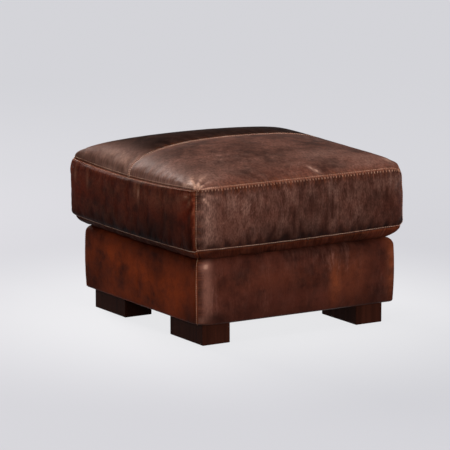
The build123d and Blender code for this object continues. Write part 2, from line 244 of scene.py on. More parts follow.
def rise_ticks(height):
    """Shares from 0 to 1 of a side panel's height, closer together at both seams."""
    across = np.linspace(-1, 1, round(height / CELL) + 1)
    return 0.5 + 0.5 * np.sign(across) * eased(np.abs(across))


def hill(distance, reach):
    """1 at a distance of 0, falling off smoothly over reach."""
    return np.exp(-(distance / reach) ** 2)


def closing(distance, reach):
    """1 at a distance of 0, down to 0 at reach and beyond."""
    return np.clip(1 - distance / reach, 0, 1)


def quarter(distance, radius):
    """A quarter round from 0 at the seam to 1 at radius and beyond."""
    return np.sqrt(1 - closing(distance, radius) ** 2)


def sagged(share, ends, sag, power):
    """Height of a line between its ends' heights, share running from -1 to 1."""
    straight = ends[0] + (ends[1] - ends[0]) * (share + 1) / 2
    return straight - sag * np.clip(1 - share ** 2, 0, 1) ** power


def corner_signs(corner):
    """The signs of X and Y at a corner between two sides."""
    return SIDES[corner[0]][0] + SIDES[corner[1]][0]


def corner_pull(radius, to_corner, to_other=0.0):
    """How far a point near a corner is drawn in along X and Y to round it."""
    near = closing(to_corner, radius) * closing(to_other, radius)
    return (1 - 1 / np.sqrt(2)) * radius * near ** 2


def ends_of(side, values):
    """The values of the corners at a side's left and right end."""
    return values[CORNER_BEFORE[side]], values[CORNER_AFTER[side]]


def at_ends(side, run, values):
    """The value of the corner that each point of a side is nearer to."""
    return np.where(run < 0, *ends_of(side, values))


def into_corners(side, run, half_run, plain, values, reach):
    """A plain value that turns into each corner's own within reach of it."""
    return plain + (at_ends(side, run, values) - plain) * hill(half_run - np.abs(run), reach)


# ---- Patches: one grid of points for each sewn panel ----
class Patch:
    """A panel's grid of points. hide is a place across and along its streaks, seam the distance to the
    nearest seam, and run the place along that seam."""

    def __init__(self, name, points, hide, seam, run):
        self.name = name
        self.points, self.hide, self.seam, self.run = points, hide, seam, run
        self.index = None  # the numbers of its points in the welded cloth
        self.crest = np.zeros(hide.shape[:2])  # how far each point stands on a crease, for its wear, painted highlight and painted shade

    def part(self, name, columns):
        """Some columns of this patch, as a patch of its own."""
        return Patch(name, self.points[columns], self.hide[columns], self.seam[columns], self.run[columns])


def side_run(side, half_x=CUSHION_X, half_y=CUSHION_Y):
    """Places along one side, from its left end to its right end seen from outside and shared with the top's
    grid, then half the side's run, and how far out it stands."""
    if side in FULL_SIDES:
        half_run, half_out, split = half_x, half_y, BAND_JOIN_X
    else:
        half_run, half_out, split = half_y, half_x, CROSS_SEAM_Y
    places = ticks(half_run, split)
    return (places if side in ("front", "right") else -places[::-1]), half_run, half_out


def seam_line(side, heights, rounds):
    """Points along one of the cushion's seams, with its corners rounded."""
    run, half_run, half_out = side_run(side)
    out, along = SIDES[side]
    pull = corner_pull(at_ends(side, run, rounds), half_run - np.abs(run))
    flat = (run - np.sign(run) * pull)[:, None] * along + (half_out - pull)[:, None] * out
    return np.concatenate([flat, heights[:, None]], axis=1)


def top_heights(side):
    """Heights of the top seam along one side, over the frame's."""
    run, half_run, _ = side_run(side)
    dip = into_corners(side, run, half_run, 0, TOP_CORNER_DIP, CORNER_DIP_REACH)
    return sagged(run / half_run, ends_of(side, TOP_SEAM_CORNERS), TOP_SEAM_SAG[side], TOP_SEAM_POWER) - dip


def bottom_seam(side):
    run, half_run, _ = side_run(side)
    sag = sagged(run / half_run, ends_of(side, BOTTOM_SEAM_CORNERS), BOTTOM_SEAM_SAG[side],
                 BOTTOM_SEAM_POWER[side])
    return seam_line(side, BOTTOM_SEAM + sag, BOTTOM_CORNER_ROUND)


def swell(side, run, rise, height, half_run):
    """How far a side panel stands out of the plane through its seams: x and y at each point."""
    out, along = SIDES[side]
    to_corner = half_run - np.abs(run)
    round_up = into_corners(side, run, half_run, PANEL_ROUND_UP, CORNER_ROUND_UP, CORNER_EASING)
    up = quarter(rise * height, PANEL_ROUND_DOWN) * quarter((1 - rise) * height, round_up[:, None])
    to_right = ((run / half_run + 1) / 2)[:, None]
    full = SIDE_SWELL[side][0] * (1 - to_right) + SIDE_SWELL[side][1] * to_right
    middle = quarter(to_corner, FULL_END_ROUND if side in FULL_SIDES else FLAT_END_ROUND)[:, None]
    easing = closing(to_corner, CORNER_EASING)[:, None] ** 2
    at_corner = np.zeros((len(run), 2))
    for end, corner in ((run < 0, CORNER_BEFORE[side]), (run >= 0, CORNER_AFTER[side])):
        at_corner[end] = CORNER_OUT[corner] * corner_signs(corner)
    bow = PANEL_BOW * (1 - (run / half_run) ** 2)[:, None]
    amount = (middle * (full + bow) + (1 - middle) * at_corner @ out[:, None]) * out
    amount += easing * (at_corner @ along[:, None]) * along
    return amount[:, None, :] * up[..., None]


def side_hide(run, rise, half_run, height, sewn_edges=True):
    """Hide places, seam distances and places along the nearest seam, for a side panel."""
    across, along = np.meshgrid(run, rise, indexing="ij")
    to_corner = half_run - np.abs(across)
    to_edge = np.minimum(along, height - along) if sewn_edges else np.full_like(along, half_run)
    seam_run = np.where(to_corner < to_edge, along, across)
    return np.stack([across, along], axis=-1), np.minimum(to_corner, to_edge), seam_run


def boxing(side):
    """One side panel of the cushion, from its bottom seam up to its top seam."""
    run, half_run, _ = side_run(side)
    top, bottom = seam_line(side, TOP_SEAM + top_heights(side), TOP_CORNER_ROUND), bottom_seam(side)
    height = TOP_SEAM - BOTTOM_SEAM
    rise = rise_ticks(height)
    points = bottom[:, None] * (1 - rise)[None, :, None] + top[:, None] * rise[None, :, None]
    points[..., :2] += swell(side, run, rise, height, half_run)
    return Patch("cushion_boxing_" + side, points, *side_hide(run, rise * height, half_run, height))


def top_surface(x, y):
    """The crowned top's points over the grid x by y, with its hide places, seam distances and places along
    the nearest seam."""
    u, v = np.meshgrid(x / CUSHION_X, y / CUSHION_Y, indexing="ij")
    side = np.maximum(1 - u ** 2, TINY) ** CROWN_SIDE_POWER
    front = np.maximum(1 - v ** 2, TINY) ** CROWN_FRONT_POWER
    crown = (side ** -CROWN_JOIN + front ** -CROWN_JOIN - 1) ** (-1 / CROWN_JOIN)
    crown *= CROWN * (1 + CROWN_TO_RIGHT * u + CROWN_TO_BACK * v)
    # The height between the four sagging seams, blended from each pair of sides less the corners.
    to_right, to_back = (u + 1) / 2, (v + 1) / 2
    front_z, back_z = top_heights("front")[:, None], top_heights("back")[::-1][:, None]
    right_z, left_z = top_heights("right")[None, :], top_heights("left")[::-1][None, :]
    sag = front_z * (1 - to_back) + back_z * to_back + left_z * (1 - to_right) + right_z * to_right
    for line, ahead in ((front_z, 1 - to_back), (back_z, to_back)):
        for column, aside in ((0, 1 - to_right), (-1, to_right)):
            sag -= line[column, 0] * (aside * ahead)
    z = TOP_SEAM + sag * (1 - crown / crown.max()) + crown
    across, along = v * CUSHION_Y, u * CUSHION_X
    to_seam = across - CROSS_SEAM_Y
    runs_out = 1 / (1 + np.exp((u - VALLEY_END) / VALLEY_FADE))
    for (depth, width), amount in ((CROSS_SEAM_VALLEY, runs_out), (CROSS_SEAM_GROOVE, 1)):
        z -= depth * amount * hill(to_seam, width) * side
    to_side, to_front = CUSHION_X * (1 - np.abs(u)), CUSHION_Y * (1 - np.abs(v))
    pull = np.zeros_like(u)
    for corner, radius in TOP_CORNER_ROUND.items():
        sign_x, sign_y = corner_signs(corner)
        here = (u * sign_x > 0) & (v * sign_y > 0)
        pull[here] = corner_pull(radius, to_side[here], to_front[here])
    grid = np.stack([along - np.sign(u) * pull, across - np.sign(v) * pull, z], axis=-1)
    to_row = np.minimum(to_front, np.abs(to_seam))
    run = np.where(to_side < to_row, across, along)
    return grid, np.stack([across, along], axis=-1), np.minimum(to_side, to_row), run


def top_patches():
    x, y = side_run("front")[0], side_run("right")[0]
    surface = top_surface(x, y)
    row = int(np.argmin(np.abs(y - CROSS_SEAM_Y)))
    return [Patch(TOP_FRONT, *(values[:, :row + 1] for values in surface)),
            Patch(TOP_REAR, *(values[:, row:] for values in surface))]


def under_band(side):
    """The band that rolls in under the cushion, from its inner edge out to the bottom seam."""
    run, half_run, _ = side_run(side)
    bottom = bottom_seam(side)
    roll = BOTTOM_SEAM - CUSHION_BOTTOM
    angles = np.linspace(pi / 2, 0, BAND_ROLL_POINTS)
    flat_run = np.linspace(BAND_REACH, roll, BAND_FLAT_POINTS)[:-1]
    inset = np.concatenate([flat_run, roll * (1 - np.cos(angles))])
    drop = np.concatenate([np.ones(len(flat_run)), np.sin(angles)])
    hang = sagged(run / half_run, ends_of(side, BOTTOM_SEAM_CORNERS), BAND_SAG[side], BAND_SAG_POWER)
    lowest = hill(inset - BAND_LOWEST * roll, BAND_LOW_REACH * roll)
    bottom_z = CUSHION_BOTTOM + hang[:, None] * lowest[None, :]
    z = bottom[:, 2:3] + (bottom_z - bottom[:, 2:3]) * drop[None, :]
    near_corner = closing(half_run - np.abs(run), BAND_CORNER_REACH) ** 2
    pull = BAND_CORNER_PULL * near_corner[:, None] * inset[None, :]
    x, y = (bottom[:, k:k + 1] * (1 - inset / half)[None, :] for k, half in enumerate((CUSHION_X, CUSHION_Y)))
    points = np.stack([x - np.sign(x) * pull, y - np.sign(y) * pull, z], axis=-1)
    across, along = np.meshgrid(run, inset, indexing="ij")
    patch = Patch("cushion_under_band_" + side, points, np.stack([across, along], axis=-1), along, across)
    if side != "front":
        return [patch]
    join = int(np.argmin(np.abs(run - BAND_JOIN_X)))
    return [patch.part(BAND_LEFT, slice(0, join + 1)), patch.part(BAND_RIGHT, slice(join, None))]


def base_panel(side):
    """A panel of the base: up from under the bottom edge, up the face and in over the top."""
    run, half_run, half_out = side_run(side, BASE_FACE_X, BASE_FACE_Y)
    out, along = SIDES[side]
    height = BASE_TOP - BASE_BOTTOM
    rise = rise_ticks(height)
    end = half_run - np.abs(run)
    bottom_round = into_corners(side, run, half_run, BASE_BOTTOM_ROUND, BASE_CORNER_ROUND, BASE_ROUND_REACH)
    bottom_round = bottom_round[:, None]
    edge_in = bottom_round * (1 - quarter(rise * height, bottom_round)) - BASE_SWELL * np.sin(pi * rise)
    edge_in += BASE_TOP_ROUND * (1 - quarter((1 - rise) * height, BASE_TOP_ROUND))
    seam_in = at_ends(side, run, BASE_SEAM_IN)
    if side in FULL_SIDES:
        end_in, run_in = seam_in * (1 - quarter(end, BASE_FULL_END)), BASE_SEAM_ASIDE
    else:
        end_in, run_in = BASE_SEAM_ASIDE * (1 - quarter(end, BASE_FLAT_END)), seam_in[:, None]
    stand = half_out - end_in[:, None] - edge_in
    reach = run[:, None] * (1 - (run_in + edge_in) / half_run)
    fall = BASE_CORNER_DROP * hill(end, BASE_CORNER_REACH)
    points = np.zeros((len(run), len(rise), 3))
    points[..., :2] = reach[..., None] * along + stand[..., None] * out
    points[..., 2] = BASE_BOTTOM + rise[None, :] * (height - fall[:, None])
    hide = side_hide(run, rise * height, half_run, height, sewn_edges=False)
    return Patch("base_panel_" + side, points, *hide)


def corner_gathers(patch):
    """Short folds that fan out of the corners where the top and the side panels meet."""
    on_top = "top_panel" in patch.name
    sewn = np.clip(patch.seam / GATHER_SEWN, 0, 1)
    for corner, amount in CORNER_GATHERS.items():
        sign = corner_signs(corner)
        away = patch.points - np.array([CUSHION_X * sign[0], CUSHION_Y * sign[1], TOP_SEAM])
        aside = np.abs(away[..., :2])
        distance = np.linalg.norm(away, axis=-1)
        flat = np.arctan2(aside[..., 1], aside[..., 0])
        steep = np.arctan2(-away[..., 2], aside[..., 0] + aside[..., 1])
        fade = hill(distance, GATHER_REACH) * np.clip(distance / GATHER_START, 0, 1)
        wave = np.sin(GATHER_FOLDS * (flat if on_top else steep) + GATHER_BEND * distance)
        fold = amount * fade * wave
        # Wear and a painted highlight on the folds' crests, and painted shade in their hollows.
        patch.crest += GATHER_WEAR_AND_PAINTED_SHADE * amount / max(CORNER_GATHERS.values()) * fade * wave
        if on_top:
            patch.points[..., 2] += fold * sewn
        else:
            side = patch.name.rsplit("_", 1)[1]
            patch.points[..., :2] += (fold * sewn)[..., None] * SIDES[side][0]


# ---- Welding the patches into one cloth, and simulating it ----
def weld(patches):
    """One list of points for all the patches. Each patch keeps the numbers of its own points."""
    found, points = {}, []
    for patch in patches:
        flat = patch.points.reshape(-1, 3)
        numbers = np.zeros(len(flat), int)
        for i, point in enumerate(flat):
            key = tuple(np.round(point / WELD).astype(int))
            if key not in found:
                found[key] = len(points)
                points.append(point)
            numbers[i] = found[key]
        patch.index = numbers.reshape(patch.points.shape[:2])
    return np.array(points)


def grid_faces(index):
    """Faces of a grid of point numbers, looking outward."""
    a, b, c, d = index[:-1, :-1], index[1:, :-1], index[1:, 1:], index[:-1, 1:]
    return np.stack([a, b, c, d], axis=-1).reshape(-1, 4)


def plain_grid(points):
    """A grid of points as a list, and its faces."""
    index = np.arange(points.shape[0] * points.shape[1]).reshape(points.shape[:2])
    return points.reshape(-1, 3), grid_faces(index)


def new_mesh(name, points, faces):
    mesh = bpy.data.meshes.new(name)
    mesh.from_pydata(np.asarray(points, float).tolist(), [], np.asarray(faces, int).tolist())
    mesh.update()
    return mesh


def read(items, key, width, kind=float):
    """One property of a mesh's vertices or edges, a row for each."""
    values = np.empty(len(items) * width, kind)
    items.foreach_get(key, values)
    return values.reshape(-1, width)


def outward(points, faces):
    """The outward direction at each point of a mesh."""
    mesh = new_mesh("normals", points, faces)
    directions = read(mesh.vertices, "normal", 3)
    bpy.data.meshes.remove(mesh)
    return directions


def smoothed(values, edges, steps, free=1):
    """Values at a mesh's points, each turned again and again into the mean of its neighbours'. Points that
    aren't free stay at 0."""
    ends, others = np.concatenate([edges, edges[:, ::-1]]).T
    degree = np.bincount(ends, minlength=len(values))
    for _ in range(steps):
        sums = [np.bincount(ends, weights=column[others], minlength=len(values)) for column in values.T]
        values = free * np.stack(sums, axis=1) / degree[:, None]
    return values


def simulate(name, patches, points, pinned, kept):
    """Fills the sewn cloth with air, held at its seams, and returns where its points go and how far each of
    them stands on a crease. The cloth is cut slightly large, so it gathers along the seams as stretched
    leather does. Of each point's creases, the share kept stays."""
    faces = np.concatenate([grid_faces(patch.index) for patch in patches])
    cloth = new_thing(name, new_mesh(name, points, faces))
    held = cloth.vertex_groups.new(name=CLOTH["vertex_group_mass"])
    held.add(np.flatnonzero(pinned).tolist(), 1.0, "REPLACE")
    modifier = cloth.modifiers.new("cloth", "CLOTH")
    for key, value in CLOTH.items():
        setattr(modifier.settings, key, value)
    modifier.settings.effector_weights.gravity = 0
    modifier.collision_settings.use_collision = False
    modifier.point_cache.frame_start, modifier.point_cache.frame_end = 1, SIM_FRAMES
    for step in range(1, SIM_FRAMES + 1):
        bpy.context.scene.frame_set(step)
    settled = cloth.evaluated_get(bpy.context.evaluated_depsgraph_get()).to_mesh()
    shift = read(settled.vertices, "co", 3) - points
    edges = read(cloth.data.edges, "vertices", 2, int)
    bpy.data.objects.remove(cloth)
    bpy.context.scene.frame_set(1)
    creases = shift - smoothed(shift, edges, BROAD_STEPS, free=~pinned[:, None])
    length = np.linalg.norm(creases, axis=1, keepdims=True)
    creases *= kept[:, None] * np.minimum(1, CREASE_CAP / np.maximum(length, TINY))
    lift = (creases * outward(points, faces)).sum(axis=1, keepdims=True)
    return points + creases, ((lift - smoothed(lift, edges, CREST_STEPS)) / CREST_HEIGHT)[:, 0]


def sew(name, patches):
    """Welds the patches, simulates them with their seams held, and puts the points back in the patches."""
    points = weld(patches)
    pinned, kept = np.zeros(len(points), bool), np.zeros(len(points))
    for patch in patches:
        for line in (patch.index[0], patch.index[-1], patch.index[:, 0], patch.index[:, -1]):
            pinned[line] = True
        near = np.exp(-patch.seam / CREASE_REACH)
        kept[patch.index] = by_prefix(CREASE_KEPT, patch.name) * (CREASE_FAR + (1 - CREASE_FAR) * near)
    points, crest = simulate(name, patches, points, pinned, kept)
    for patch in patches:
        patch.points, patch.crest = points[patch.index], crest[patch.index]
    return points


# ---- Materials ----
def rgb(red, green, blue):
    """A linear colour from the 0 to 255 values seen on a screen."""
    def linear(v):
        v /= 255
        return v / 12.92 if v <= 0.04045 else ((v + 0.055) / 1.055) ** 2.4
    return (linear(red), linear(green), linear(blue), 1)


class Graph:
    """A material's nodes, put together by short calls."""

    def __init__(self, name):
        self.material = bpy.data.materials.new(name)
        self.material.use_nodes = True
        self.tree = self.material.node_tree
        self.shader = self.tree.nodes["Principled BSDF"]

    def node(self, kind, inputs=None, **properties):
        made = self.tree.nodes.new(kind)
        for key, value in properties.items():
            setattr(made, key, value)
        for key, value in (inputs or {}).items():
            self.plug(made.inputs[key], value)
        return made

    def plug(self, socket, value):
        if isinstance(value, bpy.types.NodeSocket):
            self.tree.links.new(value, socket)
        else:
            socket.default_value = value

    def set(self, **sockets):
        for name, value in sockets.items():
            self.plug(self.shader.inputs[name.replace("_", " ")], value)

    def attribute(self, name, output="Fac"):
        return self.node("ShaderNodeAttribute", attribute_name=name).outputs[output]

    def own_place(self):
        return self.node("ShaderNodeTexCoord").outputs["Object"]

    def noise(self, vector, scale, detail=4, roughness=0.55, stretch=(1, 1, 1), offset=(0, 0, 0)):
        mapping = {"Vector": vector, "Scale": tuple(scale * s for s in stretch), "Location": offset}
        placed = self.node("ShaderNodeMapping", mapping).outputs["Vector"]
        inputs = {"Vector": placed, "Scale": 1, "Detail": detail, "Roughness": roughness}
        return self.node("ShaderNodeTexNoise", inputs).outputs["Fac"]

    def cells(self, vector, scale, feature="F1"):
        inputs = {"Vector": vector, "Scale": scale}
        return self.node("ShaderNodeTexVoronoi", inputs, feature=feature).outputs["Distance"]

    def between(self, value, start, end, out_start=0.0, out_end=1.0):
        inputs = {"Value": value, "From Min": start, "From Max": end, "To Min": out_start, "To Max": out_end}
        return self.node("ShaderNodeMapRange", inputs, interpolation_type="SMOOTHSTEP").outputs["Result"]

    def math(self, operation, *values):
        total = values[0]
        for value in values[1:]:
            total = self.node("ShaderNodeMath", {0: total, 1: value}, operation=operation).outputs["Value"]
        return total

    def times(self, *values):
        return self.math("MULTIPLY", *values)

    def plus(self, *values):
        return self.math("ADD", *values)

    def mix(self, factor, a, b):
        made = self.node("ShaderNodeMix", data_type="RGBA", blend_type="MIX", clamp_factor=True)
        for number, value in ((0, factor), (6, a), (7, b)):
            self.plug(made.inputs[number], value)
        return made.outputs[2]

    def bump(self, height, distance, strength=1.0, normal=None):
        inputs = {"Height": height, "Distance": distance, "Strength": strength}
        if normal is not None:
            inputs["Normal"] = normal
        return self.node("ShaderNodeBump", inputs).outputs["Normal"]


SCRATCH_TURN = 0.9  # the loose scratches' angle to the streaks, in radians
STREAK_SHARE = 0.6  # how much of the tone is the streaks', on a hide whose grain has a strength of 1
PAINTED_HIGHLIGHT_AND_SCUFF = rgb(214, 172, 150)  # the palest painted highlights, and scuffs where the leather is polished through
LEATHER_TINT, WOOD_TINT = (1, 0.66, 0.56, 1), (1, 0.7, 0.6, 1)
WOOD_GLOSS = 0.015
SHADED = 0.3  # a place in full painted shade has this share of the deep colour


def leather_material(name, colours, gloss, gathers, fine, grainy):
    """Waxed pull-up leather: dark and warm clouds, pale rubs where it is worn, tan seams and fine grain, with
    painted sheen, painted highlights and painted shade where the hide's marks lie.
    """
    deep, mid, warm, tan, worn = (rgb(*colour) for colour in colours)
    g = Graph(name)
    hide = g.attribute("hide", "Vector")
    wear, warmth, shade, seam, run, polish = (
        g.attribute(key) for key in ("wear", "warmth", "shade", "seam", "run", "polish"))
    sewn = g.node("ShaderNodeCombineXYZ", {"X": run, "Y": seam}).outputs["Vector"]
    turned = {"Vector": hide, "Rotation": (0, 0, SCRATCH_TURN)}
    turned = g.node("ShaderNodeMapping", turned).outputs["Vector"]

    clouds = g.noise(hide, 9, detail=5)
    patches = g.noise(hide, 38, detail=8, roughness=0.62, offset=(3, 1, 0))
    streaks = g.noise(hide, 1, detail=8, roughness=0.7, stretch=(150 * fine, 40, 1))
    grain = g.noise(hide, 1, detail=3, roughness=0.6, stretch=(420 * fine, 160, 1), offset=(1, 7, 0))
    rubs = g.noise(hide, 1, detail=6, roughness=0.62, stretch=(26 * fine, 9, 1), offset=(0, 5, 0))
    lines = g.noise(hide, 1, detail=2, roughness=0.5, stretch=(560 * fine, 26, 1), offset=(9, 0, 0))
    scratches = g.noise(turned, 1, detail=1, roughness=0.4, stretch=(430, 7, 1), offset=(2, 4, 0))
    puckers = g.noise(sewn, 1, detail=3, roughness=0.5, stretch=(190, 18, 1))

    # The dyed leather, warmer where it is stretched.
    streaky = STREAK_SHARE * grainy
    tone = g.plus(g.times(clouds, 0.75 - streaky), g.times(patches, 0.25), g.times(streaks, streaky))
    colour = g.mix(g.between(tone, 0.385, 0.615), deep, mid)
    glow = g.plus(g.times(g.between(clouds, 0.3, 0.66), 0.65), g.times(g.between(patches, 0.3, 0.62), 0.35))
    colour = g.mix(g.times(warmth, glow), colour, warm)
    # Tan where it is pulled tight along the seams.
    pulled = g.times(g.between(seam, 0.0, 24 * MM, 1.0, 0.0), g.between(puckers, 0.44, 0.62, 0.0, 0.9))
    edge = g.times(g.between(seam, 0.3 * MM, 1.4 * MM, 0.9, 0.0), g.between(puckers, 0.4, 0.6, 0.15, 1.0))
    drawn = g.math("MAXIMUM", g.times(pulled, 0.45), edge)
    colour = g.mix(g.times(drawn, g.between(shade, 0, 1, 1, 0.3)), colour, tan)
    # Rubbed and scratched, then painted sheen and painted highlights mixed with real scuffs, palest where
    # that mark is strongest.
    pale = g.times(g.between(rubs, 0.4, 0.8), g.between(streaks, 0.36, 0.72, 0.05, 1.0), wear)
    scratched = g.plus(g.times(g.between(lines, 0.64, 0.78), g.between(patches, 0.48, 0.62), wear),
                       g.times(g.between(scratches, 0.72, 0.78), g.between(clouds, 0.45, 0.6), wear))
    colour = g.mix(g.math("MINIMUM", g.plus(pale, g.times(scratched, 0.5)), 0.85), colour, worn)
    # Painted sheen and painted highlights, with scuffs: paler along the streaks where that mark lies.
    colour = g.mix(g.times(polish, g.between(streaks, 0.3, 0.7, 1 - 0.5 * grainy, 1.0)), colour, worn)
    colour = g.mix(g.between(polish, 0.5, 1.0, 0.0, 0.9), colour, PAINTED_HIGHLIGHT_AND_SCUFF)
    colour = g.mix(g.between(grain, 0.32, 0.68, grainy, 0.0), colour, deep)
    # Painted shade: darker towards the deep colour where the shade mark lies.
    colour = g.mix(shade, colour, (*(SHADED * part for part in deep[:3]), 1))

    rough = g.plus(g.between(patches, 0.3, 0.7, 0.4, 0.52), g.times(pale, 0.1))
    wrinkles = g.node("ShaderNodeMapping", {"Vector": hide, "Scale": (1, 0.7, 1)}).outputs["Vector"]
    wrinkles = g.cells(wrinkles, 210, feature="DISTANCE_TO_EDGE")
    gathered = g.times(puckers, g.between(seam, 2 * MM, 32 * MM, 1.0, 0.0))
    normal = g.bump(g.between(wrinkles, 0.0, 0.09), 0.1 * MM, 0.3)
    normal = g.bump(g.cells(hide, 780), 0.1 * MM, 0.3, normal)
    normal = g.bump(gathered, gathers, 0.6, normal)
    g.set(Base_Color=colour, Roughness=rough, Normal=normal, Specular_IOR_Level=gloss,
          Specular_Tint=LEATHER_TINT)
    return g.material


# The hide of each kind of panel: its deep, middle, warm, tan and worn colours, its gloss, how deep it gathers
# at the seams, how closely its streaks lie, and how strong its grain is. The entries for single sides are
# copies of one leather tuned to the light on their side: painted shade in the darker copies for the back
# panels, the top's rear and the base's front, and painted sheen in the greyer copy for the cushion's front.
HIDES = {
    "cushion_top_panel_front": (
        ((52, 29, 22), (113, 73, 61), (124, 56, 36), (158, 88, 52), (158, 122, 110)),
        0.02, 1 * MM, 0.4, 0.45),
    "cushion_top_panel_rear": (
        ((28, 15, 11), (47, 28, 22), (80, 30, 16), (150, 84, 50), (156, 118, 106)), 0.004, 1 * MM, 0.4, 0.3),
    "cushion_boxing": (
        ((46, 18, 12), (104, 50, 37), (124, 43, 22), (150, 78, 42), (170, 116, 92)), 0.012, 4 * MM, 1, 0.5),
    "cushion_boxing_front": (
        ((46, 23, 17), (98, 62, 52), (98, 38, 22), (158, 84, 46), (158, 122, 110)), 0.06, 3 * MM, 1, 0.6),
    "cushion_boxing_back": (
        ((32, 15, 11), (68, 40, 32), (74, 32, 19), (120, 64, 36), (120, 88, 76)), 0.012, 3 * MM, 1, 0.35),
    "cushion_under_band": (
        ((44, 20, 14), (88, 43, 33), (98, 40, 22), (132, 68, 40), (140, 98, 82)), 0.006, 3 * MM, 1, 0.3),
    "base_panel": (
        ((60, 23, 12), (108, 48, 31), (168, 72, 33), (140, 74, 42), (150, 98, 78)), 0.012, 1 * MM, 1, 0.3),
    "base_panel_front": (
        ((38, 16, 12), (70, 34, 27), (122, 62, 36), (130, 70, 46), (160, 112, 98)), 0.06, 1 * MM, 1, 0.2),
    "base_panel_back": (
        ((34, 14, 9), (64, 31, 23), (92, 40, 22), (112, 58, 34), (118, 80, 66)), 0.012, 1 * MM, 1, 0.25),
}


def wood_material(name, dark, light, grain_axis, roughness):
    """Grain along one axis, in the part's own place."""
    g = Graph(name)
    place = g.own_place()
    long = {"x": (0.06, 1, 1), "y": (1, 0.06, 1), "z": (1, 1, 0.06)}[grain_axis]
    bands = g.noise(place, 60, detail=3, roughness=0.5, stretch=long)
    fibres = g.noise(place, 900, detail=3, roughness=0.6, stretch=long)
    tone = g.plus(g.times(g.between(bands, 0.35, 0.65), 0.65), g.times(g.between(fibres, 0.3, 0.7), 0.35))
    g.set(Base_Color=g.mix(tone, rgb(*dark), rgb(*light)), Normal=g.bump(fibres, 0.15 * MM, 0.3),
          Roughness=g.between(fibres, 0.3, 0.7, roughness, roughness + 0.12),
          Specular_IOR_Level=WOOD_GLOSS, Specular_Tint=WOOD_TINT)
    return g.material


def fibre_material(name, dark, light, scale, roughness, depth, detail=6, rough=0.7, broad_scale=None,
                   share=0.6, strength=0.6):
    """Anything fibrous or porous: foam, wadding, card, webbing, thread."""
    g = Graph(name)
    place = g.own_place()
    fine = g.noise(place, scale, detail=detail, roughness=rough)
    broad = g.noise(place, broad_scale or scale / 14, detail=2)
    tone = g.plus(g.times(fine, share), g.times(broad, 1 - share))
    g.set(Base_Color=g.mix(g.between(tone, 0.35, 0.65), rgb(*dark), rgb(*light)), Roughness=roughness,
          Normal=g.bump(fine, depth, strength))
    return g.material


def thread_material(name, dark, light):
    """Twisted waxed thread."""
    return fibre_material(name, dark, light, 1400, 0.55, 0.1 * MM, detail=2, rough=0.55, broad_scale=40,
                          share=0.4, strength=0.5)


def steel_material(name):
    g = Graph(name)
    brushed = g.noise(g.own_place(), 700, detail=3)
    g.set(Base_Color=g.mix(brushed, rgb(150, 150, 152), rgb(190, 190, 192)), Metallic=1.0,
          Roughness=g.between(brushed, 0.3, 0.7, 0.25, 0.42), Normal=g.bump(brushed, 0.02 * MM, 0.3))
    return g.material


def paint(obj, material):
    obj.data.materials.clear()
    obj.data.materials.append(material)
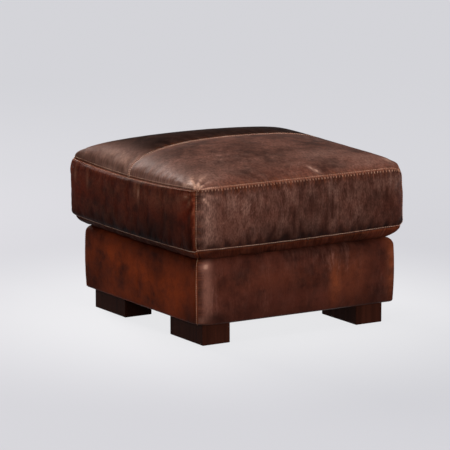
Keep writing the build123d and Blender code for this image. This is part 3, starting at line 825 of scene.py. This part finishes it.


# ---- Worn and warm places on the hides, with painted shade and painted sheen ----
# What each kind of panel has everywhere, then its soft spots: middle across and along, half width and half
# length, all in millimetres, and strength.
# Wear and warmth are the leather's own. Shade is painted shade, darker along the bottoms, under the cushion
# and in hollows. The sheen-and-scuff mark is painted sheen and painted highlights on the rolls and rounded
# ends, with some real scuffs.
FINISH = {
    "": {"wear": (0.3,), "warmth": (0,), "shade": (0,), "polish": (0,)},
    "cushion_boxing_front": {
        "wear": (0.35, (-200, 100, 80, 50, 0.6), (60, 120, 50, 50, 0.5), (160, 100, 60, 50, 0.2)),
        "warmth": (0, (310, 80, 20, 100, 0.7), (270, 40, 60, 40, 0.4)),
        "shade": (0, (0, -20, 1000, 45, 0.8), (-50, 30, 60, 50, 0.3), (260, 40, 80, 70, 0.22),
                  (20, 80, 30, 100, 0.25), (170, 110, 30, 40, 0.2)),
        "polish": (0, (-279, 74, 25, 78, 0.46), (-292, 128, 12, 12, 0.3), (-210, 110, 12, 12, 0.3),
                   (70, 120, 4, 20, 0.35), (262, 125, 5, 20, 0.5), (279, 120, 5, 26, 0.5),
                   (295, 122, 5, 22, 0.5))},
    "cushion_boxing_left": {
        "wear": (0.1,),
        "warmth": (0.3, (-240, 90, 80, 60, 0.5), (270, 90, 40, 35, 0.7)),
        "shade": (0, (0, 0, 400, 50, 0.75), (120, 50, 80, 40, 0.4), (290, 60, 20, 70, 0.4)),
        "polish": (0, (44, 122, 6, 26, 0.8), (27, 130, 5, 18, 0.45), (-280, 118, 6, 20, 0.5),
                   (-215, 114, 6, 26, 0.4), (272, 134, 16, 7, 0.46), (287, 122, 7, 12, 0.42),
                   (240, 118, 20, 22, 0.22), (150, 115, 80, 30, 0.14))},
    "cushion_top_panel_front": {
        "wear": (0.5, (-270, -250, 50, 50, 0.8), (-200, -50, 100, 200, 0.5)),
        "warmth": (0, (-260, 280, 80, 40, 0.5), (-300, 0, 30, 400, 0.35), (-292, 292, 24, 20, 1.0)),
        "polish": (0.08, (-130, -298, 300, 45, 0.4), (-270, -260, 40, 40, 0.3), (-275, -302, 20, 9, 0.5),
                   (-301, -300, 12, 10, 0.6), (-240, -200, 50, 60, 0.2), (-200, 120, 35, 80, 0.35),
                   (-255, 230, 30, 40, 0.42), (-272, 285, 30, 20, 0.55), (-294, 51, 12, 6, 1.0),
                   (-276, 45, 12, 5, 0.7), (-288, 200, 18, 90, 0.28)),
        "shade": (0, (0, 220, 50, 100, 0.3), (-100, 290, 140, 22, 0.45), (-155, 60, 20, 70, 0.25),
                  (-285, 100, 12, 30, 0.25))},
    "cushion_top_panel_rear": {
        "wear": (0.15,),
        "polish": (0, (100, -295, 300, 45, 0.62)),
        "shade": (0, (160, 100, 150, 300, 0.38))},
    # Painted shade under the cushion, lighter towards the right.
    "cushion_under_band": {"warmth": (0.35,), "shade": (0.55, (300, 0, 120, 100, -0.35))},
    "base_panel_front": {
        "warmth": (0.1, (108, 80, 16, 60, 0.8), (160, 90, 50, 80, 0.3), (285, 100, 18, 100, 0.9),
                   (-50, 100, 200, 30, 0.15)),
        "wear": (0.15, (100, 130, 50, 40, 0.6), (-250, 90, 30, 100, 0.3)),
        "shade": (0, (0, 0, 1000, 30, 0.3), (220, 30, 50, 40, 0.35), (220, 100, 20, 30, 0.3),
                  (-235, 16, 30, 16, 0.45), (-285, 80, 4, 60, 0.3), (-60, 60, 100, 70, 0.2)),
        "polish": (0, (-268, 90, 14, 80, 0.42), (-274, 151, 12, 10, 0.6), (-284, 14, 8, 9, 0.45))},
    "base_panel_left": {
        "warmth": (0.4, (180, 70, 70, 50, 0.35), (-120, 110, 120, 40, 0.6), (40, 60, 90, 50, 0.6)),
        "wear": (0.05,),
        "shade": (0, (50, 180, 300, 45, 0.75), (270, 0, 50, 50, 0.6), (100, 100, 40, 20, 0.3),
                  (-260, 20, 50, 30, 0.5))},
}


def spotted(hide, plain, *spots):
    """A value over a panel's hide places, plain but for its spots, which change it by 1 at most."""
    total = np.zeros(hide.shape[:2])
    for across, along, wide, long, strength in spots:
        aside = (hide[..., 0] - across * MM) / (wide * MM)
        ahead = (hide[..., 1] - along * MM) / (long * MM)
        total += strength * np.exp(-aside ** 2 - ahead ** 2)
    return plain + np.clip(total, -1, 1)


def finish_hide(name, hide):
    """Wear, warmth, painted shade, and painted sheen with scuffs over one panel's hide places."""
    finish = {**FINISH[""], **by_prefix(FINISH, name)}
    return {kind: spotted(hide, *values) for kind, values in finish.items()}


# ---- Panels and padding ----
SEAM_GROOVE = 12 * MM  # the cushion's padding stays this much further in at the sides, clear of the seams
WRAP_DEPTH, FOAM_DEPTH = 6 * MM, 19 * MM  # under the cushion's face
WADDING_DEPTH = 2.4 * MM  # under the base's face
WADDING = 3 * MM
WRAP_FILL, FOAM_FILL, WADDING_FILL = 0.8, 1.0, 0.5  # from 0, slack, to 1, full and tight
HIDE_APART = 0.37  # sets each panel's grain apart from the next one's
CREST_WEAR_AND_HIGHLIGHT, FOLD_PAINTED_SHADE = 0.3, 0.35  # how much paler a crest is, worn and with a painted highlight, and how much painted shade darkens a fold
BAND_CREST = 0.3  # the share of that on the bands under the cushion


def place_piece(piece, material, node=None):
    """Paints a piece and puts it on the frame. If it stands in for a node, it also hides the node."""
    paint(piece, material)
    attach(piece, "root")
    if node:
        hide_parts(node)


def thicken(piece, thickness, offset=-1):
    """Gives a piece its thickness: inward of its face, or outward with an offset of 1."""
    thick = piece.modifiers.new("thickness", "SOLIDIFY")
    thick.thickness = thickness
    thick.offset = offset


def smooth_thing(name, points, faces):
    mesh = new_mesh(name, points, faces)
    mesh.shade_smooth()
    return new_thing(name, mesh)


def shrunk(points, depth):
    """The cushion's points drawn in by depth, and further at the sides, where the seams draw in."""
    aside = depth + SEAM_GROOVE
    middle = (TOP_SEAM + CUSHION_BOTTOM) / 2
    keep = np.array([1 - aside / CUSHION_X, 1 - aside / CUSHION_Y, 1 - depth / (TOP_SEAM - middle)])
    return (points - (0, 0, middle)) * keep + (0, 0, middle)


def close_hole(obj):
    """Closes the open underside of a lining."""
    work = bmesh.new()
    work.from_mesh(obj.data)
    bmesh.ops.holes_fill(work, edges=work.edges)
    work.to_mesh(obj.data)
    work.free()


def lining(name, node, points, faces):
    """Padding under the leather, in place of a node."""
    made = smooth_thing(name, points, faces)
    place_piece(made, materials[node_slot(node)], node)
    return made


def add_values(mesh, name, values, kind="FLOAT", key="value"):
    mesh.attributes.new(name, kind, "POINT").data.foreach_set(key, values.astype(np.float32).ravel())


def panel_object(number, patch, material):
    """The leather panel of one patch, smoothed, with what its material needs to know at each point."""
    mesh = new_mesh(patch.name + "_leather", *plain_grid(patch.points))
    hide = np.concatenate([patch.hide, np.full((*patch.seam.shape, 1), HIDE_APART * number)], axis=-1)
    add_values(mesh, "hide", hide, "FLOAT_VECTOR", "vector")
    values = finish_hide(patch.name, patch.hide)
    crest = np.clip(patch.crest, -1, 1) * (BAND_CREST if "under_band" in patch.name else 1)
    # Crests of creases take wear and a painted highlight, and their folds take painted shade.
    values["polish"] += CREST_WEAR_AND_HIGHLIGHT * np.maximum(crest, 0)
    values["shade"] -= FOLD_PAINTED_SHADE * np.minimum(crest, 0)
    values.update(seam=patch.seam, run=patch.run)
    for name, column in values.items():
        add_values(mesh, name, column)
    mesh.shade_smooth()
    made = new_thing(patch.name + "_leather", mesh)
    smooth = made.modifiers.new("smooth", "SUBSURF")
    smooth.levels = smooth.render_levels = 1
    settled = bpy.data.meshes.new_from_object(made.evaluated_get(bpy.context.evaluated_depsgraph_get()))
    made.modifiers.clear()
    made.data = settled
    place_piece(made, material, patch.name)
    return made


# ---- Stitching ----
THREAD = {"length": 4.4 * MM, "pitch": 5.6 * MM, "radius": 0.6 * MM}
WHIP = {"length": 6 * MM, "pitch": 9 * MM, "radius": 0.6 * MM, "turned": True}  # across the front's top seam
STAPLE = {"length": 10 * MM, "pitch": 42 * MM, "radius": 0.6 * MM}
ROW = 3.2 * MM  # from a seam to its top-stitching
FLANK_ROW = 5 * MM  # on the top's steep flanks
WHIP_ROW = 4.4 * MM
STITCH_SIDES = 6
STITCH_RINGS = 5
STITCH_ARCH, STITCH_DIP = 0.75, 1.5  # how high its middle stands, and how far its ends dip, in radii
STITCH_TAPER = 0.55  # how much thinner its ends are


def surface_of(panel):
    mesh = panel.data
    return BVHTree.FromPolygons([v.co for v in mesh.vertices], [tuple(p.vertices) for p in mesh.polygons])


def travelled(line):
    """How far along a line of points each point is."""
    return np.concatenate([[0], np.cumsum(np.linalg.norm(np.diff(line, axis=0), axis=1))])


def points_at(distances, line):
    """Points at distances along a line of points."""
    travel = travelled(line)
    return np.stack([np.interp(distances, travel, line[:, k]) for k in range(3)], axis=-1)


def beside(patch, edge, distance):
    """Points on a patch at a distance in from one of its edges."""
    grid = {"low": patch.points, "high": patch.points[:, ::-1], "first": patch.points.swapaxes(0, 1),
            "last": patch.points[::-1].swapaxes(0, 1)}[edge]
    return np.array([points_at(distance, line) for line in grid])


def stitches(line, surface, length, pitch, radius, turned=False):
    """Points and faces of a row of stitches laid along a line on a surface, or across it if turned, each
    dipping in at both ends."""
    points, faces = [], []
    total = travelled(line)[-1]
    at = np.linspace(pitch / 2, total - pitch / 2, max(1, round((total - pitch) / pitch)) + 1)
    for place, behind, ahead in zip(*(points_at(at + step, line) for step in (0, -MM, MM))):
        centre, normal, _, _ = surface.find_nearest(Vector(place))
        along = Vector(ahead - behind)
        along = (along - along.dot(normal) * normal).normalized()
        across = normal.cross(along)
        if turned:
            along, across = across, -along
        start = len(points)
        for share in np.linspace(-1, 1, STITCH_RINGS).tolist():
            rise = radius * (STITCH_ARCH - STITCH_DIP * share ** 2)
            middle = centre + along * share * length / 2 + normal * rise
            thick = radius * (1 - STITCH_TAPER * share ** 2)
            for turn in range(STITCH_SIDES):
                angle = 2 * pi * turn / STITCH_SIDES
                points.append(middle + thick * (cos(angle) * across + sin(angle) * normal))
        rings = np.arange(start, len(points)).reshape(STITCH_RINGS, STITCH_SIDES)
        wrapped = np.concatenate([rings, rings[:, :1]], axis=1)
        faces += grid_faces(wrapped.T).tolist()
        faces += [rings[0][::-1].tolist(), rings[-1].tolist()]
    return points, faces


def stitching(name, rows, material, sizes):
    """One object for several rows of stitches, each row a line and the panel that it lies on."""
    work = bmesh.new()
    for line, surface in rows:
        points, faces = stitches(line, surface, **sizes)
        made = [work.verts.new(p) for p in points]
        for face in faces:
            work.faces.new([made[i] for i in face])
    mesh = bpy.data.meshes.new(name)
    work.to_mesh(mesh)
    work.free()
    mesh.shade_smooth()
    place_piece(new_thing(name, mesh), material)


# ---- Sheets of cloth inside and under the base ----
COVER_SAG = 5 * MM  # how far the dust cover hangs between its staples
COVER_RIPPLE = 0.6 * MM
DECK_SAG = 2 * MM
SHEET_CELLS = 60
LEG_HOLD = 45 * MM  # the cover hangs free from this far away from a leg
STAPLE_IN = 8 * MM  # from the cover's edge


def free_of_legs(x, y):
    """0 on the legs, and 1 well away from them."""
    free = np.ones_like(x)
    for leg in LEGS:
        (x0, y0, _), (x1, y1, _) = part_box(leg)
        away = np.hypot(np.maximum(np.maximum(x0 - x, x - x1), 0), np.maximum(np.maximum(y0 - y, y - y1), 0))
        free = np.minimum(free, np.clip(away / LEG_HOLD, 0, 1) ** 2)
    return free


def cloth_sheet(name, node, sag, ripple):
    """A stretched sheet in place of a node, sagging between its edges. Its faces look down."""
    (x0, y0, z0), (x1, y1, z1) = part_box(node)
    v, u = np.meshgrid(*2 * [np.linspace(-1, 1, SHEET_CELLS)])
    x, y = (x0 + x1) / 2 + u * (x1 - x0) / 2, (y0 + y1) / 2 + v * (y1 - y0) / 2
    hang = (1 - u ** 2) * (1 - v ** 2) * free_of_legs(x, y)
    z = z1 - sag * hang - ripple * hang * np.sin(9 * u + 4 * v) * np.cos(7 * v - 3 * u)
    points, faces = plain_grid(np.stack([x, y, z], axis=-1))
    made = smooth_thing(name, points, faces[:, ::-1])
    thicken(made, z1 - z0, 1)
    place_piece(made, materials[node], node)
    return made


def cover_staples(cover):
    """Staples round the dust cover, between the legs."""
    (_, _, z0), (x1, y1, _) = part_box("dust_cover")
    leg_x, leg_y = (-high("leg_front_left", axis) - STAPLE["length"] for axis in "xy")
    surface, rows = surface_of(cover), []
    for side in (-1, 1):
        edge_x, edge_y = side * (x1 - STAPLE_IN), side * (y1 - STAPLE_IN)
        rows.append((np.array([(edge_x, -leg_y, z0), (edge_x, leg_y, z0)]), surface))
        rows.append((np.array([(-leg_x, edge_y, z0), (leg_x, edge_y, z0)]), surface))
    stitching("dust_cover_staples", rows, materials["steel"], STAPLE)


# ---- Stage ----
FLOOR_HALF = 30
BACKGROUND = rgb(207, 207, 212)
PAINTED_LIGHT_POOL = rgb(236, 236, 238)
FAR_FLOOR = rgb(218, 218, 223)
BRIGHT_TO_PLAIN = (0.15, 1.15)  # a painted pool of light: the floor's own colour is brightest round the object
PLAIN_TO_FAR = (1.2, 2.6)  # further away it takes less light, and its own colour makes up for it
PAPER = (rgb(76, 78, 82), rgb(78, 80, 84))
FAR_PAPER = rgb(40, 41, 43)
OWN_GLOW = 0.92  # how much of the floor's colour comes from itself, for the camera and in reflections
WORLD_LIGHT = 0.24
LAMP_COLOUR = (1, 0.9, 0.85)
# Each softbox: place, what it faces, width and height, power in watts.
SOFTBOXES = {
    "back": ((-0.3, 3.4, 1.9), (0, 0, 0.4), (1.3, 1.5), 150),
    "front": ((-0.35, -3.8, 0.7), (0, 0, 0.3), (0.5, 1.2), 90),
    "left": ((-3.6, -1.6, 2.2), (0, 0, 0.3), (1.4, 1.2), 30),
    "above": ((0, -0.6, 3.6), (0, 0, 0.3), (1.8, 1.8), 35),
}


def make_stage():
    """A pale floor, which lights the object with its paper and shows its backdrop's colour, with a painted
    pool of light round the object.
    """
    corners = [(x * FLOOR_HALF, y * FLOOR_HALF, 0) for x, y in ((-1, -1), (1, -1), (1, 1), (-1, 1))]
    floor = new_thing("floor", new_mesh("floor", corners, [(0, 1, 2, 3)]))
    g = Graph("floor")
    place = g.own_place()
    away = g.node("ShaderNodeVectorMath", {"Vector": place}, operation="LENGTH").outputs["Value"]
    far = g.between(away, *PLAIN_TO_FAR)
    paper = g.mix(far, g.mix(g.noise(place, 3), *PAPER), FAR_PAPER)
    # A painted pool of light in the backdrop's colour round the object.
    backdrop = g.mix(g.between(away, *BRIGHT_TO_PLAIN), PAINTED_LIGHT_POOL, BACKGROUND)
    backdrop = g.mix(far, backdrop, FAR_FLOOR)
    rays = g.node("ShaderNodeLightPath").outputs
    seen = g.math("MAXIMUM", rays["Is Glossy Ray"], rays["Is Transmission Ray"], rays["Is Camera Ray"])
    g.set(Base_Color=paper, Roughness=0.9, Specular_IOR_Level=0.1, Emission_Color=backdrop,
          Emission_Strength=g.times(seen, OWN_GLOW))
    paint(floor, g.material)


def make_lights():
    world = bpy.data.worlds.new("studio")
    bpy.context.scene.world = world
    world.use_nodes = True
    background = world.node_tree.nodes["Background"].inputs
    background["Color"].default_value = (1, 1, 1, 1)
    background["Strength"].default_value = WORLD_LIGHT
    for name, (place, target, size, power) in SOFTBOXES.items():
        data = bpy.data.lights.new(name, "AREA")
        data.color = LAMP_COLOUR
        data.shape = "RECTANGLE"
        data.size, data.size_y = size
        data.energy = power
        lamp = new_thing(name, data)
        lamp.location = place
        turn_to(lamp, Vector(target) - Vector(place))
        lamp.visible_camera = False


# ---- Materials of the nodes ----
WOODS = {
    "leg_wood": ((37, 18, 13), (57, 29, 21), "z", 0.42),
    "frame_wood": ((176, 142, 100), (206, 176, 132), "x", 0.6),
    "plywood": ((170, 136, 94), (204, 172, 126), "y", 0.62),
}
# Dark and light colour, scale, roughness, and how deep its surface is.
FIBRES = {
    "foam": ((214, 204, 176), (236, 228, 204), 900, 0.9, 0.3 * MM),
    "polyester_wrap": ((226, 226, 226), (246, 246, 246), 260, 0.95, 1.2 * MM),
    "deck_cloth": ((196, 186, 166), (222, 214, 196), 1200, 0.9, 0.2 * MM),
    "webbing": ((146, 112, 72), (190, 156, 110), 800, 0.85, 0.4 * MM),
    "card": ((176, 158, 130), (200, 184, 156), 600, 0.85, 0.1 * MM),
    "dust_cover": ((18, 18, 20), (36, 36, 40), 1500, 0.85, 0.15 * MM),
}
NODE_SLOTS = {
    "leg_": "leg_wood", "leg_hanger": "steel", "leg_tee": "steel", "leg_plate": "plywood",
    "frame_": "frame_wood", "frame_staples": "steel", "corner_post": "frame_wood",
    "cushion_": "cushion_leather", "cushion_foam": "foam", "cushion_wrap": "polyester_wrap",
    "base_panel": "base_leather", "base_wadding": "polyester_wrap", "deck_cloth": "deck_cloth",
    "deck_staples": "steel", "webbing_": "webbing", "webbing_staples": "steel", "tack_strip": "card",
    "dust_cover": "dust_cover",
}


def node_slot(node):
    return by_prefix(NODE_SLOTS, node)


# ---- Putting it together ----
make_camera()
make_stage()
make_lights()

cushion = top_patches() + [boxing(side) for side in SIDES]
for side in SIDES:
    cushion += under_band(side)
base = [base_panel(side) for side in SIDES]
cushion_points = sew("cushion_cloth", cushion)
sew("base_cloth", base)
for patch in cushion:
    if "under_band" not in patch.name:
        corner_gathers(patch)

leathers = {prefix: leather_material("leather_" + prefix, *finish) for prefix, finish in HIDES.items()}
patches = {patch.name: patch for patch in cushion + base}
panels = {name: panel_object(number, patch, by_prefix(leathers, name))
          for number, (name, patch) in enumerate(patches.items())}
surfaces = {name: surface_of(panel) for name, panel in panels.items()}


def seam_rows(names, edges, distance=ROW):
    """Rows of stitches on some panels, at a distance in from some of their edges."""
    return [(beside(patches[name], edge, distance), surfaces[name]) for name in names for edge in edges]


boxings = ["cushion_boxing_" + side for side in SIDES]
thread = thread_material("thread", (164, 110, 84), (222, 178, 148))
# The same thread made paler for the cross and bottom seams: painted light.
pale_thread = thread_material("pale_thread", (200, 142, 116), (244, 208, 184))
ends = ("first", "last")
top_rows = seam_rows([TOP_FRONT], ["low"]) + seam_rows([TOP_REAR], ["high"])
for end in ends:
    top_rows += seam_rows([TOP_FRONT, TOP_REAR], [end], FLANK_ROW)
cross_rows = seam_rows([TOP_FRONT], ["high"]) + seam_rows([TOP_REAR], ["low"])
stitching("stitching_top_seam", top_rows + seam_rows(boxings[1:], ["high"]), thread, THREAD)
stitching("stitching_whip", seam_rows(boxings[:1], ["high"], WHIP_ROW), thread, WHIP)
stitching("stitching_cross_seam", cross_rows, pale_thread, THREAD)
stitching("stitching_bottom_seam", seam_rows(boxings, ["low"]), pale_thread, THREAD)
stitching("stitching_corners", seam_rows(boxings[::2], ends), thread, THREAD)
stitching("stitching_base_corners", seam_rows(["base_panel_left", "base_panel_right"], ends), thread, THREAD)
for panel in panels.values():
    thicken(panel, LEATHER)

materials = {name: wood_material(name, *look) for name, look in WOODS.items()}
materials.update({name: fibre_material(name, *look) for name, look in FIBRES.items()})
materials.update(steel=steel_material("steel"), cushion_leather=leathers["cushion_boxing"],
                 base_leather=leathers["base_panel"])
for name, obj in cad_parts.items():
    paint(obj, materials[node_slot(name)])

cover_staples(cloth_sheet("dust_cover_cambric", "dust_cover", COVER_SAG, COVER_RIPPLE))
cloth_sheet("deck_cloth_sheet", "deck_cloth", DECK_SAG, 0)
cushion_faces = np.concatenate([grid_faces(patch.index) for patch in cushion])
for name, node, depth, fill in (("cushion_wrap_padding", "cushion_wrap", WRAP_DEPTH, WRAP_FILL),
                                ("cushion_foam_block", "cushion_foam", FOAM_DEPTH, FOAM_FILL)):
    close_hole(lining(name, node, shrunk(cushion_points, depth), cushion_faces))
for side, patch in zip(SIDES, base):
    node = "base_wadding_" + side
    points, faces = plain_grid(patch.points)
    points = points - WADDING_DEPTH * outward(points, faces)
    thicken(lining(node + "_padding", node, points, faces), WADDING)

bpy.context.scene.view_settings.view_transform = "Standard"
